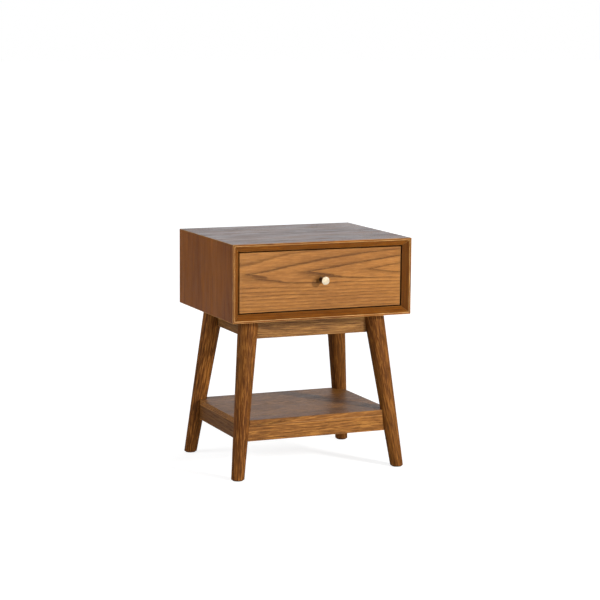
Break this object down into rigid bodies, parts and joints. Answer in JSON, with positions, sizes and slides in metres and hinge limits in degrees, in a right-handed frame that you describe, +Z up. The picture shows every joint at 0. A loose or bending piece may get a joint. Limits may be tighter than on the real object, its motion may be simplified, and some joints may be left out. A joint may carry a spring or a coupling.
{
  "type": "nightstand",
  "caption": "Nightstand: a bevel-fronted box case with a pull-out drawer and round knob, on splayed tapered round legs with an open lower shelf.",
  "frame": {"origin": "on the floor, under the middle of the bounding box (the knob reaches past the case, so the case's own middle is 5.9 mm towards +Y)", "axes": "+Z up, +X to the right as seen from the front, -Y is the front, the way the drawer opens"},
  "size_m": [0.457, 0.3798, 0.56],
  "materials": {
    "case_wood": "satin brown stain over open-grain ash veneer",
    "drawer_front_wood": "satin brown stain, flat-sawn figure running across",
    "drawer_box_wood": "clear-sealed light hardwood",
    "panel_ply": "sealed plywood",
    "base_wood": "satin brown stain over open-grain ash",
    "leg_wood": "satin brown stain over turned solid wood",
    "block_wood": "raw hardwood",
    "knob_brass": "pale satin brass",
    "slide_steel": "zinc plated",
    "screw_steel": "zinc plated",
    "glide_nylon": "dark nylon"
  },
  "bodies": {
    "case": {"top_panel": "case_wood", "bottom_panel": "case_wood", "left_side": "case_wood", "right_side": "case_wood", "back_panel": "panel_ply", "apron_front": "base_wood", "apron_right": "base_wood", "apron_back": "base_wood", "apron_left": "base_wood", "shelf_rail_front": "base_wood", "shelf_rail_right": "base_wood", "shelf_rail_back": "base_wood", "shelf_rail_left": "base_wood", "shelf_board": "base_wood", "leg_front_left": "leg_wood", "leg_front_right": "leg_wood", "leg_back_left": "leg_wood", "leg_back_right": "leg_wood", "corner_block_front_left": "block_wood", "corner_block_front_right": "block_wood", "corner_block_back_left": "block_wood", "corner_block_back_right": "block_wood", "slide_case_left": "slide_steel", "slide_case_right": "slide_steel", "leg_bolt_front_left": "screw_steel", "leg_bolt_front_right": "screw_steel", "leg_bolt_back_left": "screw_steel", "leg_bolt_back_right": "screw_steel", "base_screw_front_left": "screw_steel", "base_screw_front_right": "screw_steel", "base_screw_back_left": "screw_steel", "base_screw_back_right": "screw_steel", "glide_front_left": "glide_nylon", "glide_front_right": "glide_nylon", "glide_back_left": "glide_nylon", "glide_back_right": "glide_nylon"},
    "drawer": {"drawer_front": "drawer_front_wood", "drawer_side_left": "drawer_box_wood", "drawer_side_right": "drawer_box_wood", "drawer_box_front": "drawer_box_wood", "drawer_box_back": "drawer_box_wood", "drawer_bottom": "panel_ply", "knob": "knob_brass", "knob_screw": "screw_steel", "front_screw_1": "screw_steel", "front_screw_2": "screw_steel", "front_screw_3": "screw_steel", "front_screw_4": "screw_steel", "slide_drawer_left": "slide_steel", "slide_drawer_right": "slide_steel"},
    "slide_carriage_left": {"slide_middle_left": "slide_steel"},
    "slide_carriage_right": {"slide_middle_right": "slide_steel"}
  },
  "joints": [
    {"name": "drawer_slide", "type": "slide", "parent": "case", "child": "drawer", "axis": [0, -1, 0], "range_m": [0, 0.26]},
    {"name": "carriage_left", "type": "slide", "parent": "case", "child": "slide_carriage_left", "axis": [0, -1, 0], "range_m": [0, 0.13]},
    {"name": "carriage_right", "type": "slide", "parent": "case", "child": "slide_carriage_right", "axis": [0, -1, 0], "range_m": [0, 0.13]}
  ],
  "couplings": [
    {"joint": "carriage_left", "follows": "drawer_slide", "ratio": 0.5},
    {"joint": "carriage_right", "follows": "drawer_slide", "ratio": 0.5}
  ]
}
